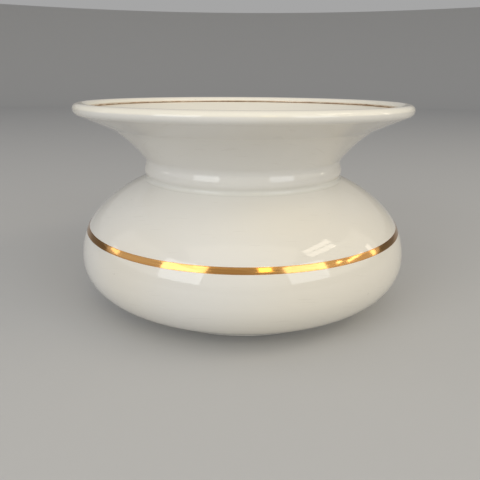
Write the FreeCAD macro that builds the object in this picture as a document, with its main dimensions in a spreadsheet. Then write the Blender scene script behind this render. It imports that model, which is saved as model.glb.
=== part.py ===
"""Wide-mouthed porcelain vase in the form of a cuspidor: a squat bowl on a low foot ring,
a closed-in shoulder, a beaded collar and a trumpet rim with a rolled lip, gilded at two places.

Frame: millimetres, +Z up, origin at the centre of the foot ring's resting face.
Every piece is a ring or a dish turned round Z, so each sketch is a half section in XZ.
"""
import FreeCAD, Part
import Sketcher
import math
import os

XY_AXIS_NORMAL = FreeCAD.Vector(0, 0, 1)
START, END, CENTRE = 1, 2, 3
VERTICAL_AXIS = -2

SIZES = [
    ("foot_radius", 72.4, "outside of the foot ring"),
    ("foot_width", 6.0, "radial width of the foot ring"),
    ("foot_depth", 4.1, "how far the bowl's underside stands above the table"),
    ("foot_round", 1.2, "rounding of the two resting edges"),
    ("belly_radius", 103.0, "widest radius of the bowl"),
    ("belly_height", 31.4, "height of the widest radius"),
    ("body_wall", 4.6, "wall of the bowl and the shoulder"),
    ("floor_thickness", 5.6, "bottom of the bowl"),
    ("dish_arc", 60.0, "radius of the underside from the foot outwards"),
    ("turn_arc", 22.2, "radius of the tight turn below the widest radius"),
    ("turn_angle", 55.7, "how far round the tight turn goes, in degrees"),
    ("side_arc", 39.3, "radius of the side above the widest radius"),
    ("side_angle", 45.0, "how far round the side arc goes, in degrees"),
    ("shoulder_arc", 80.8, "radius of the shoulder"),
    ("seam_height", 49.6, "plane where the bowl and the shoulder are luted together"),
    ("seat_height", 78.6, "flat top of the shoulder, where collar and rim stand"),
    ("collar_bore", 59.3, "inside of the collar, outside of the rim's spigot"),
    ("collar_foot_radius", 60.1, "outer edge of the collar on its seat"),
    ("bead_arc", 7.2, "radius of the collar's bead"),
    ("neck_radius", 61.3, "narrowest radius, just above the bead"),
    ("neck_height", 88.5, "height of the narrowest radius"),
    ("neck_arc", 4.7, "hollow radius where the neck turns out into the trumpet"),
    ("rim_wall", 4.0, "wall of the trumpet"),
    ("trumpet_angle", 53.0, "steepness at the start of the trumpet, in degrees"),
    ("trumpet_arc", 81.6, "radius of the trumpet's long curve"),
    ("brim_bend", 14.7, "radius of the bend into the brim"),
    ("brim_slope", 20.2, "slope of the brim, in degrees"),
    ("rim_radius", 101.5, "outermost radius of the lip"),
    ("lip_height", 120.3, "height of the middle of the rolled lip"),
    ("lip_roll", 3.3, "radius of the rolled lip"),
    ("band_thickness", 0.08, "thickness of the gold band on the shoulder"),
    ("line_thickness", 0.15, "thickness of the gold line inside the lip"),
    ("band_bottom", 48.0, "lower edge of the gold band on the shoulder"),
    ("band_top", 51.2, "upper edge of the gold band on the shoulder"),
    ("line_bottom", 119.9, "lower edge of the gold line inside the lip"),
    ("line_top", 121.2, "upper edge of the gold line inside the lip"),
]
S = {name: value for name, value, note in SIZES}


def make_sheet(doc):
    """The driving dimensions, one row each: name, value, meaning."""
    sheet = doc.addObject("Spreadsheet::Sheet", "Sizes")
    for row, (name, value, note) in enumerate(SIZES, start=1):
        sheet.set("A%d" % row, name)
        sheet.set("B%d" % row, str(value))
        sheet.set("C%d" % row, note)
        sheet.setAlias("B%d" % row, name)
    return sheet


class Section:
    """A half section on the XZ plane of a body, drawn with lines and arcs and tied by constraints."""

    def __init__(self, body):
        self.body = body
        self.sketch = body.newObject("Sketcher::SketchObject", body.Name + "_section")
        planes = {feature.Role: feature for feature in body.Origin.OriginFeatures}
        self.sketch.AttachmentSupport = [(planes["XZ_Plane"], "")]
        self.sketch.MapMode = "FlatFace"

    def line(self, start, end):
        return self.sketch.addGeometry(Part.LineSegment(
            FreeCAD.Vector(start[0], start[1], 0), FreeCAD.Vector(end[0], end[1], 0)))

    def arc(self, centre, radius, first, last):
        """An arc that runs anticlockwise from the first angle to the last, in degrees."""
        circle = Part.Circle(FreeCAD.Vector(centre[0], centre[1], 0), XY_AXIS_NORMAL, radius)
        return self.sketch.addGeometry(
            Part.ArcOfCircle(circle, math.radians(first), math.radians(last)))

    def join(self, a, a_end, b, b_end):
        self.sketch.addConstraint(Sketcher.Constraint("Coincident", a, a_end, b, b_end))

    def blend(self, a, a_end, b, b_end):
        """Ends meet and run on smoothly."""
        self.sketch.addConstraint(Sketcher.Constraint("Tangent", a, a_end, b, b_end))

    def tie(self, kind, *where):
        self.sketch.addConstraint(Sketcher.Constraint(kind, *where))

    def bind(self, constraint, expression):
        index = self.sketch.addConstraint(constraint)
        name = "size_%d" % index
        self.sketch.renameConstraint(index, name)
        self.sketch.setExpression("Constraints." + name, expression)

    def radius(self, arc, expression):
        now = self.sketch.Geometry[arc].Radius
        self.bind(Sketcher.Constraint("Radius", arc, now), expression)

    def x(self, item, point, expression):
        now = self.sketch.getPoint(item, point).x
        self.bind(Sketcher.Constraint("DistanceX", item, point, now), expression)

    def z(self, item, point, expression):
        now = self.sketch.getPoint(item, point).y
        self.bind(Sketcher.Constraint("DistanceY", item, point, now), expression)

    def revolve(self):
        """The finished section turned once round the Z axis."""
        turned = self.body.newObject("PartDesign::Revolution", self.body.Name + "_turned")
        turned.Profile = self.sketch
        turned.ReferenceAxis = (self.sketch, ["V_Axis"])
        turned.Angle = 360.0
        return turned


def on_circle(centre, radius, angle):
    """The point of a circle at an angle in degrees."""
    turn = math.radians(angle)
    return (centre[0] + radius * math.cos(turn), centre[1] + radius * math.sin(turn))


def angle_at(centre, radius, height):
    """The angle in degrees at which the right half of a circle passes a height."""
    return math.degrees(math.asin((height - centre[1]) / radius))


def side_centre():
    """Middle of the arc that forms the side above the widest radius."""
    return (S["belly_radius"] - S["side_arc"], S["belly_height"])


def side_arc_at_widest(section, outer, inner):
    """Ties both side arcs to the widest radius of the bowl, one wall apart."""
    section.x(outer, CENTRE, "Sizes.belly_radius - Sizes.side_arc")
    section.z(outer, CENTRE, "Sizes.belly_height")
    section.radius(outer, "Sizes.side_arc")
    section.join(inner, CENTRE, outer, CENTRE)
    section.radius(inner, "Sizes.side_arc - Sizes.body_wall")


def foot_ring(doc):
    """Low turned ring under the bowl, with two rounded resting edges."""
    body = doc.addObject("PartDesign::Body", "foot_ring")
    s = Section(body)
    outer, top, r = S["foot_radius"], S["foot_depth"], S["foot_round"]
    inner = outer - S["foot_width"]
    under = s.line((inner + r, 0), (outer - r, 0))
    heel = s.arc((outer - r, r), r, -90, 0)
    outside = s.line((outer, r), (outer, top))
    seat = s.line((outer, top), (inner, top))
    inside = s.line((inner, top), (inner, r))
    toe = s.arc((inner + r, r), r, 180, 270)
    s.blend(under, END, heel, START)
    s.blend(heel, END, outside, START)
    s.join(outside, END, seat, START)
    s.join(seat, END, inside, START)
    s.blend(inside, END, toe, START)
    s.blend(toe, END, under, START)
    s.tie("Vertical", outside)
    s.tie("Horizontal", seat)
    s.tie("Vertical", inside)
    s.z(under, START, "0 mm")
    s.x(outside, START, "Sizes.foot_radius")
    s.x(inside, START, "Sizes.foot_radius - Sizes.foot_width")
    s.z(seat, START, "Sizes.foot_depth")
    s.radius(heel, "Sizes.foot_round")
    s.radius(toe, "Sizes.foot_round")
    s.revolve()
    return body


def lower_bowl(doc):
    """Dish from the flat underside round the widest radius and up to the seam."""
    body = doc.addObject("PartDesign::Body", "lower_bowl")
    s = Section(body)
    wall, turn = S["body_wall"], -S["turn_angle"]
    side = side_centre()
    turn_centre = (S["belly_radius"] - S["turn_arc"], S["belly_height"])
    dish_centre = on_circle(turn_centre, S["turn_arc"] - S["dish_arc"], turn)
    base = S["foot_depth"]
    floor = base + S["floor_thickness"]
    base_angle = angle_at(dish_centre, S["dish_arc"], base)
    floor_angle = angle_at(dish_centre, S["dish_arc"] - wall, floor)
    seam_out = angle_at(side, S["side_arc"], S["seam_height"])
    seam_in = angle_at(side, S["side_arc"] - wall, S["seam_height"])
    base_corner = on_circle(dish_centre, S["dish_arc"], base_angle)
    floor_corner = on_circle(dish_centre, S["dish_arc"] - wall, floor_angle)

    underside = s.line((0, base), base_corner)
    dish = s.arc(dish_centre, S["dish_arc"], base_angle, turn)
    bend = s.arc(turn_centre, S["turn_arc"], turn, 0)
    flank = s.arc(side, S["side_arc"], 0, seam_out)
    flank_in = s.arc(side, S["side_arc"] - wall, 0, seam_in)
    bend_in = s.arc(turn_centre, S["turn_arc"] - wall, turn, 0)
    dish_in = s.arc(dish_centre, S["dish_arc"] - wall, floor_angle, turn)
    seam = s.line(on_circle(side, S["side_arc"], seam_out),
                  on_circle(side, S["side_arc"] - wall, seam_in))
    inside = s.line(floor_corner, (0, floor))
    axis = s.line((0, floor), (0, base))

    s.join(underside, END, dish, START)
    s.blend(dish, END, bend, START)
    s.blend(bend, END, flank, START)
    s.join(flank, END, seam, START)
    s.join(seam, END, flank_in, END)
    s.blend(flank_in, START, bend_in, END)
    s.blend(bend_in, START, dish_in, END)
    s.join(dish_in, START, inside, START)
    s.join(inside, END, axis, START)
    s.join(axis, END, underside, START)

    side_arc_at_widest(s, flank, flank_in)
    s.z(flank, START, "Sizes.belly_height")
    s.z(flank_in, START, "Sizes.belly_height")
    s.z(flank, END, "Sizes.seam_height")
    s.z(flank_in, END, "Sizes.seam_height")
    s.radius(bend, "Sizes.turn_arc")
    s.radius(bend_in, "Sizes.turn_arc - Sizes.body_wall")
    s.z(bend, START, "Sizes.belly_height - Sizes.turn_arc * sin(Sizes.turn_angle * 1 deg)")
    s.z(bend_in, START,
        "Sizes.belly_height - (Sizes.turn_arc - Sizes.body_wall) * sin(Sizes.turn_angle * 1 deg)")
    s.radius(dish, "Sizes.dish_arc")
    s.radius(dish_in, "Sizes.dish_arc - Sizes.body_wall")
    s.z(dish, START, "Sizes.foot_depth")
    s.z(dish_in, START, "Sizes.foot_depth + Sizes.floor_thickness")
    s.tie("Horizontal", underside)
    s.tie("Horizontal", inside)
    s.tie("PointOnObject", underside, START, VERTICAL_AXIS)
    s.tie("PointOnObject", inside, END, VERTICAL_AXIS)
    s.revolve()
    return body


def shoulder(doc):
    """Closing-in upper half of the body, from the seam to the flat seat round the neck."""
    body = doc.addObject("PartDesign::Body", "shoulder")
    s = Section(body)
    wall, turn = S["body_wall"], S["side_angle"]
    side = side_centre()
    arch = on_circle(side, S["side_arc"] - S["shoulder_arc"], turn)
    bore = S["neck_radius"] - S["rim_wall"]
    seam_out = angle_at(side, S["side_arc"], S["seam_height"])
    seam_in = angle_at(side, S["side_arc"] - wall, S["seam_height"])
    seat_angle = angle_at(arch, S["shoulder_arc"], S["seat_height"])
    bore_angle = math.degrees(math.acos((bore - arch[0]) / (S["shoulder_arc"] - wall)))
    bore_corner = on_circle(arch, S["shoulder_arc"] - wall, bore_angle)

    flank = s.arc(side, S["side_arc"], seam_out, turn)
    crown = s.arc(arch, S["shoulder_arc"], turn, seat_angle)
    seat = s.line(on_circle(arch, S["shoulder_arc"], seat_angle), (bore, S["seat_height"]))
    mouth = s.line((bore, S["seat_height"]), bore_corner)
    crown_in = s.arc(arch, S["shoulder_arc"] - wall, turn, bore_angle)
    flank_in = s.arc(side, S["side_arc"] - wall, seam_in, turn)
    seam = s.line(on_circle(side, S["side_arc"] - wall, seam_in),
                  on_circle(side, S["side_arc"], seam_out))

    s.blend(flank, END, crown, START)
    s.join(crown, END, seat, START)
    s.join(seat, END, mouth, START)
    s.join(mouth, END, crown_in, END)
    s.blend(crown_in, START, flank_in, END)
    s.join(flank_in, START, seam, START)
    s.join(seam, END, flank, START)

    side_arc_at_widest(s, flank, flank_in)
    s.z(flank, START, "Sizes.seam_height")
    s.z(flank_in, START, "Sizes.seam_height")
    s.z(flank, END, "Sizes.belly_height + Sizes.side_arc * sin(Sizes.side_angle * 1 deg)")
    s.z(flank_in, END,
        "Sizes.belly_height + (Sizes.side_arc - Sizes.body_wall) * sin(Sizes.side_angle * 1 deg)")
    s.radius(crown, "Sizes.shoulder_arc")
    s.radius(crown_in, "Sizes.shoulder_arc - Sizes.body_wall")
    s.z(crown, END, "Sizes.seat_height")
    s.x(crown_in, END, "Sizes.neck_radius - Sizes.rim_wall")
    s.tie("Horizontal", seat)
    s.tie("Vertical", mouth)
    s.revolve()
    return body


def neck_collar(doc):
    """Beaded ring round the joint between the shoulder and the flared rim."""
    body = doc.addObject("PartDesign::Body", "neck_collar")
    s = Section(body)
    bore, seat, top = S["collar_bore"], S["seat_height"], S["neck_height"]
    hollow_centre = (S["neck_radius"] + S["neck_arc"], top)
    bead_centre = (S["collar_foot_radius"] - S["bead_arc"] * 0.7, (seat + top) / 2)
    lean = math.degrees(math.atan2(hollow_centre[1] - bead_centre[1],
                                   hollow_centre[0] - bead_centre[0]))
    foot_angle = angle_at(bead_centre, S["bead_arc"], seat)

    under = s.line((bore, seat), (S["collar_foot_radius"], seat))
    bead = s.arc(bead_centre, S["bead_arc"], foot_angle, lean)
    hollow = s.arc(hollow_centre, S["neck_arc"], 180, 180 + lean)
    upper = s.line((S["neck_radius"], top), (bore, top))
    inside = s.line((bore, top), (bore, seat))

    s.join(under, END, bead, START)
    s.blend(bead, END, hollow, END)
    s.join(hollow, START, upper, START)
    s.join(upper, END, inside, START)
    s.join(inside, END, under, START)

    s.tie("Horizontal", under)
    s.tie("Vertical", inside)
    s.x(under, START, "Sizes.collar_bore")
    s.z(under, START, "Sizes.seat_height")
    s.x(under, END, "Sizes.collar_foot_radius")
    s.radius(bead, "Sizes.bead_arc")
    s.radius(hollow, "Sizes.neck_arc")
    s.x(hollow, START, "Sizes.neck_radius")
    s.z(hollow, START, "Sizes.neck_height")
    s.z(hollow, CENTRE, "Sizes.neck_height")
    s.z(upper, END, "Sizes.neck_height")
    s.revolve()
    return body


def trumpet_chain(radius_shift, first, last):
    """Centres of the neck, trumpet and brim arcs; the inside has the same centres as the outside."""
    neck = (S["neck_radius"] + S["neck_arc"], S["neck_height"])
    trumpet = on_circle(neck, S["neck_arc"] - S["trumpet_arc"], 90 + first)
    brim = on_circle(trumpet, S["trumpet_arc"] - S["brim_bend"], 90 + last)
    return [(neck, S["neck_arc"] + radius_shift),
            (trumpet, S["trumpet_arc"] + radius_shift),
            (brim, S["brim_bend"] + radius_shift)]


def flared_rim(doc):
    """Trumpet with a spigot that stands inside the collar, ending in a brim with a rolled lip."""
    body = doc.addObject("PartDesign::Body", "flared_rim")
    s = Section(body)
    wall, slope, first = S["rim_wall"], S["brim_slope"], S["trumpet_angle"]
    middle = (first + slope) / 2
    bore, spigot = S["neck_radius"] - wall, S["collar_bore"]
    seat, neck = S["seat_height"], S["neck_height"]
    lip = (S["rim_radius"] - S["lip_roll"], S["lip_height"])

    foot = s.line((bore, seat), (spigot, seat))
    spigot_side = s.line((spigot, seat), (spigot, neck))
    ledge = s.line((spigot, neck), (S["neck_radius"], neck))
    turned_in = [180, 90 + first, 90 + middle, 90 + slope]
    outer = []
    inner = []
    for skin, shift in ((outer, 0), (inner, wall)):
        for number, (centre, radius) in enumerate(trumpet_chain(shift, first, middle)):
            skin.append(s.arc(centre, radius, turned_in[number + 1], turned_in[number]))
    under_lip = on_circle(lip, S["lip_roll"], slope - 90)
    brim = s.line(s.sketch.Geometry[outer[2]].StartPoint[:2], under_lip)
    roll_end = 180 + slope - math.degrees(math.asin((wall - S["lip_roll"]) / S["lip_roll"]))
    roll = s.arc(lip, S["lip_roll"], slope - 90, roll_end)
    brim_in = s.line(on_circle(lip, S["lip_roll"], roll_end),
                     s.sketch.Geometry[inner[2]].StartPoint[:2])
    throat = s.line((bore, neck), (bore, seat))

    s.join(foot, END, spigot_side, START)
    s.join(spigot_side, END, ledge, START)
    s.join(ledge, END, outer[0], END)
    s.blend(outer[0], START, outer[1], END)
    s.blend(outer[1], START, outer[2], END)
    s.blend(outer[2], START, brim, START)
    s.blend(brim, END, roll, START)
    s.join(roll, END, brim_in, START)
    s.blend(brim_in, END, inner[2], START)
    s.blend(inner[2], END, inner[1], START)
    s.blend(inner[1], END, inner[0], START)
    s.join(inner[0], END, throat, START)
    s.join(throat, END, foot, START)

    s.tie("Horizontal", foot)
    s.tie("Vertical", spigot_side)
    s.tie("Vertical", throat)
    s.tie("Parallel", brim, brim_in)
    s.z(foot, START, "Sizes.seat_height")
    s.x(foot, END, "Sizes.collar_bore")
    s.z(spigot_side, END, "Sizes.neck_height")
    for skin, shift, side in ((outer, "", ""), (inner, " + Sizes.rim_wall", " - Sizes.rim_wall")):
        s.x(skin[0], END, "Sizes.neck_radius" + side)
        s.z(skin[0], END, "Sizes.neck_height")
        s.z(skin[0], CENTRE, "Sizes.neck_height")
        s.z(skin[0], START,
            "Sizes.neck_height + (Sizes.neck_arc%s) * cos(Sizes.trumpet_angle * 1 deg)" % shift)
        s.radius(skin[0], "Sizes.neck_arc" + shift)
        s.radius(skin[1], "Sizes.trumpet_arc" + shift)
        s.radius(skin[2], "Sizes.brim_bend" + shift)
    s.bind(Sketcher.Constraint("Angle", brim, math.radians(slope)), "Sizes.brim_slope * 1 deg")
    s.bind(Sketcher.Constraint("Distance", brim_in, START, brim, wall), "Sizes.rim_wall")
    s.radius(roll, "Sizes.lip_roll")
    s.x(roll, CENTRE, "Sizes.rim_radius - Sizes.lip_roll")
    s.z(roll, CENTRE, "Sizes.lip_height")
    s.revolve()
    return body


def gilding(doc, name, centre, radius, low, high, thickness, side):
    """A thin ring of fired gold on a round surface; side is 1 outside and -1 inside the vase.

    Each of centre, radius, low and high is a pair: its value and its expression.
    The thickness is the name of its cell.
    """
    body = doc.addObject("PartDesign::Body", name)
    s = Section(body)
    middle = (centre[0][0], centre[1][0])
    skins = []
    for height, extra in ((0, ""), (S[thickness], " + Sizes." + thickness)):
        size = radius[0] + height
        bottom = angle_at(middle, size, low[0])
        top = angle_at(middle, size, high[0])
        if side < 0:
            bottom, top = 180 - top, 180 - bottom
        arc = s.arc(middle, size, bottom, top)
        skins.append((arc, extra))
    back, face = skins[0][0], skins[1][0]
    for end in (START, END):
        edge = s.line(s.sketch.getPoint(back, end)[:2], s.sketch.getPoint(face, end)[:2])
        s.join(edge, START, back, end)
        s.join(edge, END, face, end)
    first, last = (low, high) if side > 0 else (high, low)
    s.x(back, CENTRE, centre[0][1])
    s.z(back, CENTRE, centre[1][1])
    s.join(face, CENTRE, back, CENTRE)
    for arc, extra in skins:
        s.radius(arc, radius[1] + extra)
        s.z(arc, START, first[1])
        s.z(arc, END, last[1])
    s.revolve()
    return body


def shoulder_gold_band(doc):
    """Gold band painted over the seam between the bowl and the shoulder."""
    side = side_centre()
    return gilding(doc, "shoulder_gold_band",
                   ((side[0], "Sizes.belly_radius - Sizes.side_arc"),
                    (side[1], "Sizes.belly_height")),
                   (S["side_arc"], "Sizes.side_arc"),
                   (S["band_bottom"], "Sizes.band_bottom"),
                   (S["band_top"], "Sizes.band_top"), "band_thickness", 1)


def rim_gold_line(doc):
    """Fine gold line round the inner flank of the rolled lip."""
    return gilding(doc, "rim_gold_line",
                   ((S["rim_radius"] - S["lip_roll"], "Sizes.rim_radius - Sizes.lip_roll"),
                    (S["lip_height"], "Sizes.lip_height")),
                   (S["lip_roll"], "Sizes.lip_roll"),
                   (S["line_bottom"], "Sizes.line_bottom"),
                   (S["line_top"], "Sizes.line_top"), "line_thickness", -1)


def check(doc, bodies):
    """Stops on a failed feature, an unsolved sketch or a bad solid."""
    for item in doc.Objects:
        if "Invalid" in item.State or "Error" in item.State:
            raise RuntimeError("%s failed: %s" % (item.Label, item.State))
        if item.TypeId == "Sketcher::SketchObject":
            if item.solve() != 0:
                raise RuntimeError("%s is not solved" % item.Label)
    for body in bodies:
        shape = body.Shape
        if shape.isNull() or not shape.isValid() or len(shape.Solids) != 1:
            raise RuntimeError("%s is not one valid solid" % body.Label)


def main():
    doc = FreeCAD.newDocument("cuspidor_vase")
    make_sheet(doc)
    doc.recompute()
    makers = (foot_ring, lower_bowl, shoulder, neck_collar, flared_rim,
              shoulder_gold_band, rim_gold_line)
    bodies = [make(doc) for make in makers]
    for body in bodies:
        body.Label = body.Name
        body.Placement = FreeCAD.Placement()
    doc.recompute()
    check(doc, bodies)
    os.makedirs("parts", exist_ok=True)
    for body in bodies:
        body.Shape.exportStep("parts/%s.step" % body.Label)
        box = body.Shape.BoundBox
        print("%-20s volume %9.1f mm3, radius %.2f, z %.2f to %.2f"
              % (body.Label, body.Shape.Volume, box.XMax, box.ZMin, box.ZMax))


main()
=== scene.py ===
"""The looks of a wide-mouthed white porcelain vase with a gold band.

Every piece is turned round Z on the CAD frame's own sizes. Lengths are metres, angles degrees.
An outline is a list of (radius, height) points, walked along the visible face of the piece.
"""
import math

import bmesh
import bpy
from mathutils import Matrix, Vector


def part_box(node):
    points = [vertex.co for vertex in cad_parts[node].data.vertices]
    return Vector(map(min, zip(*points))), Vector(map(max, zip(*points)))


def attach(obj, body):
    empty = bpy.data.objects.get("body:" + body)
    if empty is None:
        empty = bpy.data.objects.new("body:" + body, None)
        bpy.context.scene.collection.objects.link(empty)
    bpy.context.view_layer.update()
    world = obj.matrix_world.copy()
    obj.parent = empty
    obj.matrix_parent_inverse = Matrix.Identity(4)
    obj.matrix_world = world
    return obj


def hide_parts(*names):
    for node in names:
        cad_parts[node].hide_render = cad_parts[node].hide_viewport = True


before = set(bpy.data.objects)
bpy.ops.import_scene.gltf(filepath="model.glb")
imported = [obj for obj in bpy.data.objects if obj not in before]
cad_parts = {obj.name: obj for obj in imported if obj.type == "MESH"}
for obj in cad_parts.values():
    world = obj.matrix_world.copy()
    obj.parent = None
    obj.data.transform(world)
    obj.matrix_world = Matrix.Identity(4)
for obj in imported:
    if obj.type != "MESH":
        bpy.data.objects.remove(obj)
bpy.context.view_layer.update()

# ---------------------------------------------------------------- sizes read from the frame

FOOT_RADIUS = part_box("foot_ring")[1].x
FOOT_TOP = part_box("foot_ring")[1].z
BELLY_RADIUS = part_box("lower_bowl")[1].x
SEAM_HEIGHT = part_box("lower_bowl")[1].z
SEAT_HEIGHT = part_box("neck_collar")[0].z
BEAD_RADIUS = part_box("neck_collar")[1].x
NECK_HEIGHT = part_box("neck_collar")[1].z
RIM_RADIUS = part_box("flared_rim")[1].x
RIM_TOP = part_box("flared_rim")[1].z
BAND_LOW, BAND_HIGH = (corner.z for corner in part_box("shoulder_gold_band"))
LINE_LOW, LINE_HIGH = (corner.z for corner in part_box("rim_gold_line"))

# ---------------------------------------------------------------- sizes of the turned shape

FOOT_WIDTH = 0.0060
FOOT_ROUND = 0.0012
GROOVE_DEPTH = 0.0009
BELLY_HEIGHT = 0.0314
BODY_WALL = 0.0046
FLOOR_TOP = FOOT_TOP + 0.0056
DISH_ARC = 0.0600
TURN_ARC = 0.0222
TURN_ANGLE = 55.7
SIDE_ARC = 0.0393
SIDE_ANGLE = 45.0
SHOULDER_ARC = 0.0808
CREASE_FILLET = 0.0021
BEAD_ROLL = 0.0045
BEAD_FACE = 0.0140
FACE_START = 5.0
NECK_RADIUS = 0.0613
NECK_ARC = 0.0047
RIM_WALL = 0.0040
TRUMPET_ANGLE = 53.0
TRUMPET_ARC = 0.0816
BRIM_BEND = 0.0147
BRIM_SLOPE = 20.2
LIP_ROLL = 0.0033
COLLAR_BORE = 0.0593
GILT_THICKNESS = 0.00008

SECTION_STEP = 0.0010
SECTION_TURN = 4.0
ROUND_STEPS = 256
FLOOR_STEPS = 96
CREASE_ANGLE = 32.0
MERGE_REACH = 1e-7


def on_circle(centre, radius, angle):
    turn = math.radians(angle)
    return (centre[0] + radius * math.cos(turn), centre[1] + radius * math.sin(turn))


def arc(centre, radius, first, last):
    """Points along an arc, close enough for a smooth turned wall."""
    length = radius * math.radians(abs(last - first))
    steps = max(2, math.ceil(length / SECTION_STEP), math.ceil(abs(last - first) / SECTION_TURN))
    return [on_circle(centre, radius, first + (last - first) * i / steps)
            for i in range(steps + 1)]


def chained(*arcs):
    """Tangent arcs in a row, each later one without the point it shares with the one before."""
    outline = list(arcs[0])
    for following in arcs[1:]:
        outline += following[1:]
    return outline


def angle_at_height(centre, radius, height):
    return math.degrees(math.asin((height - centre[1]) / radius))


def angle_between(centre, point):
    return math.degrees(math.atan2(point[1] - centre[1], point[0] - centre[0]))


def reached_from(first, first_reach, second, second_reach):
    """The point at two distances from two others, on the right on the way from first to second."""
    across = math.dist(first, second)
    along = (first_reach ** 2 - second_reach ** 2 + across ** 2) / (2 * across)
    aside = math.sqrt(first_reach ** 2 - along ** 2)
    step = ((second[0] - first[0]) / across, (second[1] - first[1]) / across)
    return (first[0] + step[0] * along + step[1] * aside,
            first[1] + step[1] * along - step[0] * aside)


SIDE_CENTRE = (BELLY_RADIUS - SIDE_ARC, BELLY_HEIGHT)
TURN_CENTRE = (BELLY_RADIUS - TURN_ARC, BELLY_HEIGHT)
DISH_CENTRE = on_circle(TURN_CENTRE, TURN_ARC - DISH_ARC, -TURN_ANGLE)
SHOULDER_CENTRE = on_circle(SIDE_CENTRE, SIDE_ARC - SHOULDER_ARC, SIDE_ANGLE)
HOLLOW_CENTRE = (NECK_RADIUS + NECK_ARC, NECK_HEIGHT)

# The bead's face runs from the end of its small roll, at the widest point, into the hollow neck.
FACE_RADIUS = BEAD_RADIUS - BEAD_ROLL + (BEAD_ROLL - BEAD_FACE) * math.cos(math.radians(FACE_START))
FACE_DROP = math.sqrt((NECK_ARC + BEAD_FACE) ** 2 - (HOLLOW_CENTRE[0] - FACE_RADIUS) ** 2)
FACE_CENTRE = (FACE_RADIUS, NECK_HEIGHT - FACE_DROP)
ROLL_CENTRE = on_circle(FACE_CENTRE, BEAD_FACE - BEAD_ROLL, FACE_START)
FILLET_CENTRE = reached_from(SHOULDER_CENTRE, SHOULDER_ARC + CREASE_FILLET,
                             ROLL_CENTRE, BEAD_ROLL + CREASE_FILLET)

TRUMPET_CENTRE = on_circle(HOLLOW_CENTRE, NECK_ARC - TRUMPET_ARC, 90 + TRUMPET_ANGLE)
BRIM_ANGLE = (TRUMPET_ANGLE + BRIM_SLOPE) / 2
BRIM_CENTRE = on_circle(TRUMPET_CENTRE, TRUMPET_ARC - BRIM_BEND, 90 + BRIM_ANGLE)
LIP_CENTRE = (RIM_RADIUS - LIP_ROLL, RIM_TOP - LIP_ROLL)

SEAM_OUT = angle_at_height(SIDE_CENTRE, SIDE_ARC, SEAM_HEIGHT)
SEAM_IN = angle_at_height(SIDE_CENTRE, SIDE_ARC - BODY_WALL, SEAM_HEIGHT)
THROAT_RADIUS = NECK_RADIUS - RIM_WALL
CROWN_END = angle_between(SHOULDER_CENTRE, FILLET_CENTRE)
ROLL_START = angle_between(ROLL_CENTRE, FILLET_CENTRE)
FACE_END = angle_between(FACE_CENTRE, HOLLOW_CENTRE)
CROWN_EDGE = on_circle(SHOULDER_CENTRE, SHOULDER_ARC, CROWN_END)


# ---------------------------------------------------------------- turning

def spun(outline, closed, steps):
    """An outline spun once round Z, with no wall along the axis itself."""
    bm = bmesh.new()
    corners = [bm.verts.new((radius, 0.0, height)) for radius, height in outline]
    following = corners[1:] + (corners[:1] if closed else [])
    for start, end in zip(corners, following):
        if max(start.co.x, end.co.x) > 0.0:
            bm.edges.new((start, end))
    bmesh.ops.spin(bm, geom=bm.verts[:] + bm.edges[:], cent=(0, 0, 0), axis=(0, 0, 1),
                   angle=math.tau, steps=steps, use_merge=True)
    bmesh.ops.remove_doubles(bm, verts=bm.verts, dist=MERGE_REACH)
    for face in bm.faces:
        face.smooth = True
    return bm


def linked(name, bm, material):
    """An object of one material in the scene, made from a finished bmesh."""
    mesh = bpy.data.meshes.new(name)
    bm.to_mesh(mesh)
    bm.free()
    mesh.materials.append(material)
    piece = bpy.data.objects.new(name, mesh)
    bpy.context.scene.collection.objects.link(piece)
    return piece


def turned(name, outline, material, node):
    """A finished piece: its closed outline spun once round Z, in place of its CAD node."""
    bm = spun(outline, True, ROUND_STEPS)
    bmesh.ops.recalc_face_normals(bm, faces=bm.faces)
    for edge in bm.edges:
        edge.smooth = edge.calc_face_angle(0.0) < math.radians(CREASE_ANGLE)
    piece = linked(name, bm, material)
    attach(piece, "root")
    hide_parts(node)


def foot_ring(material):
    """Low ring with two rounded resting edges and a groove where it meets the bowl."""
    inner = FOOT_RADIUS - FOOT_WIDTH
    heel = (FOOT_RADIUS - FOOT_ROUND, FOOT_ROUND)
    toe = (inner + FOOT_ROUND, FOOT_ROUND)
    groove = (FOOT_RADIUS - GROOVE_DEPTH, FOOT_TOP - GROOVE_DEPTH)
    outline = [(inner, FOOT_TOP)]
    outline += arc(toe, FOOT_ROUND, 180, 270)
    outline += arc(heel, FOOT_ROUND, -90, 0)
    outline += arc(groove, GROOVE_DEPTH, 0, 90)
    turned("foot_ring_unglazed", outline, material, "foot_ring")


def lower_bowl(material):
    """Flat underside, dished wall, widest turn and flank up to the seam, with its inside."""
    dish_start = angle_at_height(DISH_CENTRE, DISH_ARC, FOOT_TOP)
    floor_start = angle_at_height(DISH_CENTRE, DISH_ARC - BODY_WALL, FLOOR_TOP)
    outline = [(0.0, FOOT_TOP)]
    outline += chained(arc(DISH_CENTRE, DISH_ARC, dish_start, -TURN_ANGLE),
                       arc(TURN_CENTRE, TURN_ARC, -TURN_ANGLE, 0),
                       arc(SIDE_CENTRE, SIDE_ARC, 0, SEAM_OUT))
    outline += chained(arc(SIDE_CENTRE, SIDE_ARC - BODY_WALL, SEAM_IN, 0),
                       arc(TURN_CENTRE, TURN_ARC - BODY_WALL, 0, -TURN_ANGLE),
                       arc(DISH_CENTRE, DISH_ARC - BODY_WALL, -TURN_ANGLE, floor_start))
    outline.append((0.0, FLOOR_TOP))
    turned("bowl_glazed", outline, material, "lower_bowl")


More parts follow.
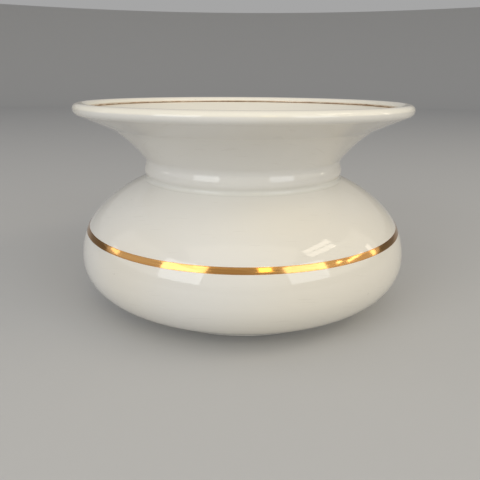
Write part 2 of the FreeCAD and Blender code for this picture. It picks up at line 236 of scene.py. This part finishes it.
def shoulder(material):
    """Closed-in upper half of the body, up to the fillet under the bead."""
    wall_arc = SHOULDER_ARC - BODY_WALL
    bore_angle = math.degrees(math.acos((THROAT_RADIUS - SHOULDER_CENTRE[0]) / wall_arc))
    outline = chained(arc(SIDE_CENTRE, SIDE_ARC, SEAM_OUT, SIDE_ANGLE),
                      arc(SHOULDER_CENTRE, SHOULDER_ARC, SIDE_ANGLE, CROWN_END))
    outline += [(COLLAR_BORE, CROWN_EDGE[1]), (COLLAR_BORE, SEAT_HEIGHT), (THROAT_RADIUS, SEAT_HEIGHT)]
    outline += chained(arc(SHOULDER_CENTRE, wall_arc, bore_angle, SIDE_ANGLE),
                       arc(SIDE_CENTRE, SIDE_ARC - BODY_WALL, SIDE_ANGLE, SEAM_IN))
    turned("shoulder_glazed", outline, material, "shoulder")


def neck_collar(material):
    """Bead: a crease filled with glaze, a round roll, a gently crowned face and the hollow neck."""
    outline = chained(arc(FILLET_CENTRE, CREASE_FILLET, CROWN_END + 180, ROLL_START + 180),
                      arc(ROLL_CENTRE, BEAD_ROLL, ROLL_START, FACE_START),
                      arc(FACE_CENTRE, BEAD_FACE, FACE_START, FACE_END),
                      arc(HOLLOW_CENTRE, NECK_ARC, 180 + FACE_END, 180))
    outline += [(COLLAR_BORE, NECK_HEIGHT), (COLLAR_BORE, CROWN_EDGE[1])]
    turned("collar_glazed", outline, material, "neck_collar")


def flared_rim(material):
    """Trumpet with its spigot inside the collar, bent out to a brim with a rolled lip."""
    turns = [(HOLLOW_CENTRE, NECK_ARC, 180, 90 + TRUMPET_ANGLE),
             (TRUMPET_CENTRE, TRUMPET_ARC, 90 + TRUMPET_ANGLE, 90 + BRIM_ANGLE),
             (BRIM_CENTRE, BRIM_BEND, 90 + BRIM_ANGLE, 90 + BRIM_SLOPE)]
    underside = [arc(centre, radius, first, last) for centre, radius, first, last in turns]
    inside = [arc(centre, radius + RIM_WALL, last, first) for centre, radius, first, last in turns]
    lip_end = 180 + BRIM_SLOPE - math.degrees(math.asin((RIM_WALL - LIP_ROLL) / LIP_ROLL))
    outline = [(THROAT_RADIUS, SEAT_HEIGHT), (COLLAR_BORE, SEAT_HEIGHT), (COLLAR_BORE, NECK_HEIGHT)]
    outline += chained(*underside)
    outline += arc(LIP_CENTRE, LIP_ROLL, BRIM_SLOPE - 90, lip_end)
    outline += chained(*reversed(inside))
    turned("rim_glazed", outline, material, "flared_rim")


def gilt_film(name, centre, radius, first, last, material, node):
    """A film of fired gold that lies on a turned surface between two angles."""
    face = arc(centre, radius + GILT_THICKNESS, first, last)
    back = arc(centre, radius - GILT_THICKNESS, last, first)
    turned(name, face + back, material, node)


def shoulder_gold_band(material):
    low = angle_at_height(SIDE_CENTRE, SIDE_ARC, BAND_LOW)
    high = angle_at_height(SIDE_CENTRE, SIDE_ARC, BAND_HIGH)
    gilt_film("gold_band", SIDE_CENTRE, SIDE_ARC, low, high, material, "shoulder_gold_band")


def rim_gold_line(material):
    low = 180 - angle_at_height(LIP_CENTRE, LIP_ROLL, LINE_LOW)
    high = 180 - angle_at_height(LIP_CENTRE, LIP_ROLL, LINE_HIGH)
    gilt_film("gold_rim_line", LIP_CENTRE, LIP_ROLL, high, low, material, "rim_gold_line")


# ---------------------------------------------------------------- finishes

class Wiring:
    """Adds nodes to one tree and joins them. A socket or a plain value can go into any input."""

    def __init__(self, tree):
        self.tree = tree

    def give(self, socket, value):
        if isinstance(value, bpy.types.NodeSocket):
            self.tree.links.new(value, socket)
        else:
            socket.default_value = value

    def add(self, kind, inputs, **settings):
        node = self.tree.nodes.new("ShaderNode" + kind)
        for name, value in settings.items():
            setattr(node, name, value)
        for name, value in inputs.items():
            self.give(node.inputs[name], value)
        return node

    def sum(self, operation, first, second=0.0):
        """One step of arithmetic on two numbers."""
        return self.add("Math", {0: first, 1: second}, operation=operation).outputs[0]

    def ease(self, value, low, high, start=0.0, end=1.0):
        """Goes smoothly from start to end while the value goes from low to high."""
        between = {"Value": value, "From Min": low, "From Max": high, "To Min": start, "To Max": end}
        return self.add("MapRange", between, interpolation_type="SMOOTHSTEP").outputs["Result"]

    def tint(self, share, first, second):
        """A colour between two colours."""
        return self.add("Mix", {0: share, 6: first, 7: second}, data_type="RGBA").outputs[2]

    def noise(self, vector, scale, detail=2.0):
        """Soft noise from 0 to 1."""
        return self.add("TexNoise", {"Vector": vector, "Scale": scale, "Detail": detail}).outputs[0]

    def group(self, tree, inputs):
        return self.add("Group", inputs, node_tree=tree).outputs


def new_effect(name, inputs, outputs):
    """An empty effect with named sockets: its tree, its wiring, what comes in and what goes out."""
    tree = bpy.data.node_groups.new(name, "ShaderNodeTree")
    for label, (kind, value) in inputs.items():
        socket = tree.interface.new_socket(label, in_out="INPUT", socket_type="NodeSocket" + kind)
        socket.default_value = value
    for label, kind in outputs.items():
        tree.interface.new_socket(label, in_out="OUTPUT", socket_type="NodeSocket" + kind)
    entry = tree.nodes.new("NodeGroupInput")
    leave = tree.nodes.new("NodeGroupOutput")
    return tree, Wiring(tree), entry.outputs, leave.inputs


def place_on_vase():
    """Where a point of the surface is: radius from the axis, height, turn round the axis, place."""
    tree, w, _, result = new_effect(
        "place_on_vase", {},
        {"Radius": "Float", "Height": "Float", "Turn": "Float", "Place": "Vector"})
    place = w.add("TexCoord", {}).outputs["Object"]
    apart = w.add("SeparateXYZ", {0: place}).outputs
    flat = w.add("CombineXYZ", {0: apart[0], 1: apart[1]}).outputs[0]
    w.give(result["Radius"], w.add("VectorMath", {0: flat}, operation="LENGTH").outputs["Value"])
    w.give(result["Height"], apart[2])
    w.give(result["Turn"], w.sum("ARCTAN2", apart[1], apart[0]))
    w.give(result["Place"], place)
    return tree


def near_ring(place):
    """Distance Away from a circle round the axis, and a Mask: 1 on it, 0 from its reach on."""
    tree, w, given, result = new_effect(
        "near_ring",
        {"Ring Radius": ("Float", 0.06), "Ring Height": ("Float", 0.08), "Reach": ("Float", 0.004)},
        {"Mask": "Float", "Away": "Float"})
    here = w.group(place, {})
    across = w.sum("SUBTRACT", here["Radius"], given["Ring Radius"])
    up = w.sum("SUBTRACT", here["Height"], given["Ring Height"])
    apart = w.add("CombineXYZ", {0: across, 1: up}).outputs[0]
    away = w.add("VectorMath", {0: apart}, operation="LENGTH").outputs["Value"]
    w.give(result["Mask"], w.ease(away, 0.0, given["Reach"], 1.0, 0.0))
    w.give(result["Away"], away)
    return tree


def fine_specks(place):
    """Scattered dots of uneven size; Share is the part of the cells that hold one."""
    tree, w, given, result = new_effect(
        "fine_specks",
        {"Spacing": ("Float", 0.007), "Size": ("Float", 0.0004), "Share": ("Float", 0.3)},
        {"Mask": "Float"})
    here = w.group(place, {})
    scale = w.sum("DIVIDE", 1.0, given["Spacing"])
    cells = w.add("TexVoronoi", {"Vector": here["Place"], "Scale": scale}).outputs
    chance = w.add("SeparateColor", {0: cells["Color"]}).outputs
    largest = w.sum("MULTIPLY", given["Size"], scale)
    size = w.sum("MULTIPLY", largest, w.ease(chance[1], 0.0, 1.0, 0.35, 1.0))
    dot = w.ease(cells["Distance"], w.sum("MULTIPLY", size, 0.4), size, 1.0, 0.0)
    w.give(result["Mask"], w.sum("MULTIPLY", dot, w.sum("LESS_THAN", chance[0], given["Share"])))
    return tree


def turning_rings(place):
    """Faint rings left by the wheel, a little uneven on their way round."""
    tree, w, given, result = new_effect(
        "turning_rings", {"Pitch": ("Float", 0.0016)}, {"Height": "Float"})
    here = w.group(place, {})
    around = w.sum("MULTIPLY", w.sum("SINE", here["Turn"]), 0.6)
    out = w.sum("DIVIDE", here["Radius"], given["Pitch"])
    up = w.sum("DIVIDE", here["Height"], given["Pitch"])
    section = w.add("CombineXYZ", {0: out, 1: up, 2: around}).outputs[0]
    w.give(result["Height"], w.noise(section, 1.0, 1.0))
    return tree


def brushed_round(place):
    """Tone of a colour laid on by a brush held to the turning vase: laps and fine streaks."""
    tree, w, given, result = new_effect(
        "brushed_round",
        {"Laps": ("Float", 22.0), "Slant": ("Float", 60.0), "Streak": ("Float", 0.0005)},
        {"Laps": "Float", "Streaks": "Float"})
    here = w.group(place, {})
    slanted = w.sum("ADD", here["Turn"], w.sum("MULTIPLY", here["Height"], given["Slant"]))
    lap = w.sum("FLOOR", w.sum("MULTIPLY", slanted, w.sum("DIVIDE", given["Laps"], math.tau)))
    tone = w.add("TexWhiteNoise", {"W": lap}, noise_dimensions="1D").outputs["Value"]
    w.give(result["Laps"], tone)
    up = w.sum("DIVIDE", here["Height"], given["Streak"])
    along = w.add("CombineXYZ", {0: w.sum("MULTIPLY", w.sum("SINE", here["Turn"]), 3.0),
                                 1: w.sum("MULTIPLY", w.sum("COSINE", here["Turn"]), 3.0),
                                 2: up}).outputs[0]
    w.give(result["Streaks"], w.noise(along, 1.0, 3.0))
    return tree


def hair_marks(place):
    """Hair-fine straight marks from years of use, here and there."""
    tree, w, given, result = new_effect(
        "hair_marks", {"Length": ("Float", 0.012), "Width": ("Float", 0.0006)}, {"Mask": "Float"})
    here = w.group(place, {})
    along = w.sum("DIVIDE", 1.0, given["Length"])
    over = w.sum("DIVIDE", 1.0, given["Width"])
    stretch = w.add("CombineXYZ", {0: along, 1: along, 2: over}).outputs[0]
    tilted = w.add("VectorRotate", {"Vector": here["Place"], "Angle": 0.35}, rotation_type="X_AXIS")
    drawn = w.add("VectorMath", {0: tilted.outputs[0], 1: stretch}, operation="MULTIPLY").outputs[0]
    w.give(result["Mask"], w.ease(w.noise(drawn, 1.0, 0.0), 0.74, 0.80))
    return tree


PLACE = place_on_vase()
NEAR_RING = near_ring(PLACE)
SPECKS = fine_specks(PLACE)
TURNING = turning_rings(PLACE)
BRUSHED = brushed_round(PLACE)
HAIRS = hair_marks(PLACE)


def new_finish(name):
    """A material with its wiring, its shader and the place on the vase."""
    material = bpy.data.materials.new(name)
    material.use_nodes = True
    w = Wiring(material.node_tree)
    shader = material.node_tree.nodes["Principled BSDF"]
    return material, w, shader, w.group(PLACE, {})


def ring_mask(w, ring, reach):
    radius, height = ring
    given = {"Ring Radius": radius, "Ring Height": height, "Reach": reach}
    return w.group(NEAR_RING, given)["Mask"]


def specks(w, spacing, size, share):
    return w.group(SPECKS, {"Spacing": spacing, "Size": size, "Share": share})["Mask"]


def white_glaze():
    """Clear glossy glaze over white china: cream drifting to cool white, pooled glaze with painted
    shade in the crease, painted shade above the foot, painted bounce light inside the mouth, specks,
    hairs.
    """
    material, w, shader, here = new_finish("white_glaze")
    cool, cream = (0.775, 0.760, 0.725, 1), (0.785, 0.745, 0.660, 1)
    # pooled carries painted shade for the crease, inner a painted brighter tone for the inside of the
    # mouth; thin is the thinner glaze on the lip.
    pooled_glaze_and_shade, thin, inner = (0.68, 0.70, 0.64, 1), (0.74, 0.68, 0.62, 1), (0.90, 0.86, 0.76, 1)
    # grime_and_shade is the colour of real marks and specks, and also of the painted shade above the
    # foot.
    grime_and_shade, iron = (0.36, 0.31, 0.25, 1), (0.16, 0.12, 0.09, 1)
    wave_depth, ring_depth = 0.000014, 0.000006
    drift = w.ease(w.noise(here["Place"], 9.0, 1.0), 0.35, 0.65)
    colour = w.tint(drift, cool, cream)
    # Painted shade: the crease under the bead is darkened, with the greenish tint of pooled glaze.
    crease = ring_mask(w, on_circle(FILLET_CENTRE, CREASE_FILLET, CROWN_END + 140), 0.0034)
    colour = w.tint(w.sum("MULTIPLY", crease, 0.25), colour, pooled_glaze_and_shade)
    # Painted light: the inside of the mouth gets a brighter, creamier colour than the outside,
    # standing in for light bouncing inside it.
    flare = {"Ring Radius": TRUMPET_CENTRE[0], "Ring Height": TRUMPET_CENTRE[1]}
    away = w.group(NEAR_RING, flare)["Away"]
    inside = w.ease(away, TRUMPET_ARC + RIM_WALL * 0.2, TRUMPET_ARC + RIM_WALL * 0.45)
    inside = w.sum("MULTIPLY", inside, w.sum("GREATER_THAN", here["Height"], NECK_HEIGHT))
    colour = w.tint(inside, colour, inner)
    # Painted shade: the bowl just above the foot groove is darkened with the grime colour.
    foot = ring_mask(w, (FOOT_RADIUS, FOOT_TOP), 0.0022)
    colour = w.tint(w.sum("MULTIPLY", foot, 0.8), colour, grime_and_shade)
    crest = ring_mask(w, (LIP_CENTRE[0], RIM_TOP), 0.0030)
    colour = w.tint(w.sum("MULTIPLY", crest, 0.5), colour, thin)
    colour = w.tint(w.sum("MULTIPLY", w.group(HAIRS, {})["Mask"], 0.06), colour, grime_and_shade)
    fine_dots = specks(w, spacing=0.0075, size=0.00034, share=0.30)
    colour = w.tint(w.sum("MULTIPLY", fine_dots, 0.75), colour, iron)
    faint_spots = specks(w, spacing=0.0130, size=0.00090, share=0.35)
    colour = w.tint(w.sum("MULTIPLY", faint_spots, 0.16), colour, grime_and_shade)
    w.give(shader.inputs["Base Color"], colour)
    film = w.noise(here["Place"], 55.0, 4.0)
    w.give(shader.inputs["Roughness"], w.ease(film, 0.35, 0.75, 0.015, 0.05))
    rings = w.group(TURNING, {"Pitch": 0.0019})["Height"]
    wavy = w.noise(here["Place"], 95.0, 1.0)
    soft = w.add("Bump", {"Height": wavy, "Distance": wave_depth, "Strength": 1.0})
    fine = w.add("Bump", {"Height": rings, "Distance": ring_depth, "Strength": 1.0,
                          "Normal": soft.outputs["Normal"]})
    w.give(shader.inputs["Normal"], fine.outputs["Normal"])
    shader.inputs["IOR"].default_value = 1.52
    return material


def bare_foot():
    """Foot ring: glazed on its side, wiped bare and grey with wear where it rests, painted shade in
    the groove above.
    """
    material, w, shader, here = new_finish("bare_foot")
    glazed, bisque, grime_and_shade = (0.82, 0.80, 0.75, 1), (0.60, 0.55, 0.47, 1), (0.20, 0.17, 0.14, 1)
    grit = w.noise(here["Place"], 900.0, 3.0)
    edge = w.sum("ADD", here["Height"], w.sum("MULTIPLY", grit, 0.0008))
    bare = w.ease(edge, 0.0003, 0.0010, 1.0, 0.0)
    worn = w.ease(w.noise(here["Place"], 70.0, 4.0), 0.45, 0.70)
    resting = w.tint(w.sum("MULTIPLY", worn, 0.55), bisque, grime_and_shade)
    colour = w.tint(bare, glazed, resting)
    # Painted shade: the groove between the foot and the bowl is darkened with the grime colour.
    groove = ring_mask(w, (FOOT_RADIUS - GROOVE_DEPTH, FOOT_TOP), 0.0010)
    colour = w.tint(w.sum("MULTIPLY", groove, 0.85), colour, grime_and_shade)
    dirt = specks(w, spacing=0.004, size=0.00035, share=0.4)
    colour = w.tint(w.sum("MULTIPLY", dirt, 0.6), colour, grime_and_shade)
    w.give(shader.inputs["Base Color"], colour)
    w.give(shader.inputs["Roughness"], w.ease(bare, 0.0, 1.0, 0.12, 0.75))
    bump = w.add("Bump", {"Height": w.sum("MULTIPLY", grit, bare), "Distance": 0.00006})
    w.give(shader.inputs["Normal"], bump.outputs["Normal"])
    return material


def shoulder_gilding():
    """Burnished gold laid on by brush: laps, streaks, browner worn edges and pinholes."""
    material, w, shader, here = new_finish("shoulder_gilding")
    deep, bright, worn = (0.49, 0.245, 0.072, 1), (0.64, 0.36, 0.130, 1), (0.34, 0.16, 0.05, 1)
    polished, dulled = 0.07, 0.27
    middle, half = (BAND_LOW + BAND_HIGH) / 2, (BAND_HIGH - BAND_LOW) / 2
    brushed = w.group(BRUSHED, {})
    streaks = w.ease(brushed["Streaks"], 0.35, 0.65)
    tone = w.sum("ADD", w.sum("MULTIPLY", brushed["Laps"], 0.55), w.sum("MULTIPLY", streaks, 0.45))
    colour = w.tint(tone, deep, bright)
    away = w.sum("ABSOLUTE", w.sum("SUBTRACT", here["Height"], middle))
    ragged = w.sum("MULTIPLY", w.noise(here["Place"], 700.0, 3.0), half * 0.5)
    edge = w.ease(w.sum("ADD", away, ragged), half * 0.95, half * 1.3)
    colour = w.tint(w.sum("MULTIPLY", edge, 0.7), colour, worn)
    pinholes = specks(w, spacing=0.0030, size=0.00030, share=0.30)
    colour = w.tint(w.sum("MULTIPLY", pinholes, 0.55), colour, worn)
    w.give(shader.inputs["Base Color"], colour)
    shader.inputs["Metallic"].default_value = 1.0
    wear = w.sum("ADD", w.sum("MULTIPLY", streaks, 0.6), edge)
    w.give(shader.inputs["Roughness"], w.ease(wear, 0.0, 1.6, polished, dulled))
    bump = w.add("Bump", {"Height": brushed["Streaks"], "Distance": 0.000008})
    w.give(shader.inputs["Normal"], bump.outputs["Normal"])
    return material


def rim_gilding():
    """Thin gold line rubbed nearly away on its upper half, where hands and cloths reach it."""
    material, w, shader, here = new_finish("rim_gilding")
    rubbed, gold, dark = (0.70, 0.60, 0.48, 1), (0.46, 0.29, 0.15, 1), (0.26, 0.15, 0.08, 1)
    width = LINE_HIGH - LINE_LOW
    brushed = w.group(BRUSHED, {})
    patchy = w.sum("MULTIPLY", w.noise(here["Place"], 160.0, 3.0), width)
    ragged = w.sum("ADD", here["Height"], patchy)
    kept = w.ease(ragged, LINE_LOW + width * 0.75, LINE_LOW + width * 1.25, 1.0, 0.0)
    film = w.tint(brushed["Laps"], dark, gold)
    w.give(shader.inputs["Base Color"], w.tint(kept, rubbed, film))
    w.give(shader.inputs["Metallic"], w.sum("MULTIPLY", kept, 0.9))
    w.give(shader.inputs["Roughness"], w.ease(brushed["Streaks"], 0.3, 0.7, 0.15, 0.32))
    return material


# ---------------------------------------------------------------- camera, light and floor

EYE = Vector((0.0, -0.3150, 0.1351))
LENS = 36.675
SENSOR = 36.0
LOOK_DOWN = 17.893
LOOK_LEFT = 0.287
ROLL = 0.367

LIGHT_AIM = Vector((0.0, 0.0, 0.06))
FLOOR_REACH = 2.6
FLOOR_SWEEP = 0.7

DAYLIGHT = (0.93, 0.97, 1.0)
WARM = (1.0, 0.90, 0.74)
COOL = (1.0, 0.97, 0.98)
AMBER = (1.0, 0.80, 0.25)


def make_camera():
    data = bpy.data.cameras.new("camera")
    data.lens = LENS
    data.sensor_width = SENSOR
    data.clip_start = 0.01
    camera = bpy.data.objects.new("camera", data)
    bpy.context.scene.collection.objects.link(camera)
    turn = Matrix.Rotation(math.radians(LOOK_LEFT), 4, "Z")
    tilt = Matrix.Rotation(math.radians(90 - LOOK_DOWN), 4, "X")
    roll = Matrix.Rotation(math.radians(ROLL), 4, "Z")
    camera.matrix_world = Matrix.Translation(EYE) @ turn @ tilt @ roll
    bpy.context.scene.camera = camera


def soft_panel(name, azimuth, elevation, distance, size, power, colour):
    """A rectangular soft light; azimuth is from the front towards +X, as seen from the vase."""
    data = bpy.data.lights.new(name, "AREA")
    data.shape = "RECTANGLE"
    data.size, data.size_y = size
    data.energy = power
    data.color = colour
    light = bpy.data.objects.new(name, data)
    bpy.context.scene.collection.objects.link(light)
    turn, rise = math.radians(azimuth), math.radians(elevation)
    level = math.cos(rise)
    towards = Vector((math.sin(turn) * level, -math.cos(turn) * level, math.sin(rise)))
    aim = (-towards).to_track_quat("-Z", "Y").to_matrix().to_4x4()
    light.matrix_world = Matrix.Translation(LIGHT_AIM + towards * distance) @ aim


def pale_floor():
    material = bpy.data.materials.new("pale_floor")
    material.use_nodes = True
    shader = material.node_tree.nodes["Principled BSDF"]
    shader.inputs["Base Color"].default_value = (0.54, 0.54, 0.54, 1)
    shader.inputs["Roughness"].default_value = 0.9
    shader.inputs["Specular IOR Level"].default_value = 0.2
    return material


def studio_floor():
    """A plain pale floor swept up into a low wall all round."""
    outline = [(0.0, 0.0)] + arc((FLOOR_REACH, FLOOR_SWEEP), FLOOR_SWEEP, -90, -10)
    linked("studio_floor", spun(outline, False, FLOOR_STEPS), pale_floor())


def studio_light():
    """Two windows, a split strip light, one small lamp and wide dim walls for an even wrap."""
    soft_panel("left_window", -40.5, 21.5, 1.3, (0.66, 0.64), 3.9, DAYLIGHT)
    soft_panel("right_window", 44, 20.5, 1.3, (0.62, 0.58), 2.9, DAYLIGHT)
    soft_panel("upper_strip", 71, 47.7, 1.4, (0.54, 0.115), 0.72, WARM)
    soft_panel("lower_strip", 69, 41.8, 1.4, (0.54, 0.130), 0.82, WARM)
    soft_panel("lamp", 16, 33, 1.3, (0.17, 0.17), 0.50, AMBER)
    soft_panel("left_slit", -96, 14, 1.4, (0.20, 0.14), 0.16, WARM)
    soft_panel("right_slit", 69, 21.5, 1.4, (0.07, 0.04), 0.07, WARM)
    soft_panel("long_slit", 83, 18.5, 1.4, (0.36, 0.05), 0.26, WARM)
    soft_panel("far_slit", 99, 14.5, 1.4, (0.10, 0.30), 0.26, WARM)
    soft_panel("ceiling_wall", 0, 54, 2.2, (2.6, 1.4), 8.0, WARM)
    soft_panel("front_wall", 0, 20, 2.3, (2.6, 1.4), 3.0, WARM)
    soft_panel("left_wall", -80, 24, 1.7, (1.6, 1.0), 2.2, COOL)
    soft_panel("right_wall", 82, 24, 1.7, (1.6, 1.0), 2.9, WARM)
    world = bpy.data.worlds.new("studio_air")
    world.use_nodes = True
    air = world.node_tree.nodes["Background"]
    air.inputs["Color"].default_value = (0.38, 0.38, 0.38, 1)
    air.inputs["Strength"].default_value = 1.0
    bpy.context.scene.world = world


make_camera()
glaze = white_glaze()
foot_ring(bare_foot())
lower_bowl(glaze)
shoulder(glaze)
neck_collar(glaze)
flared_rim(glaze)
shoulder_gold_band(shoulder_gilding())
rim_gold_line(rim_gilding())
studio_floor()
studio_light()
bpy.context.scene.view_settings.view_transform = "Standard"
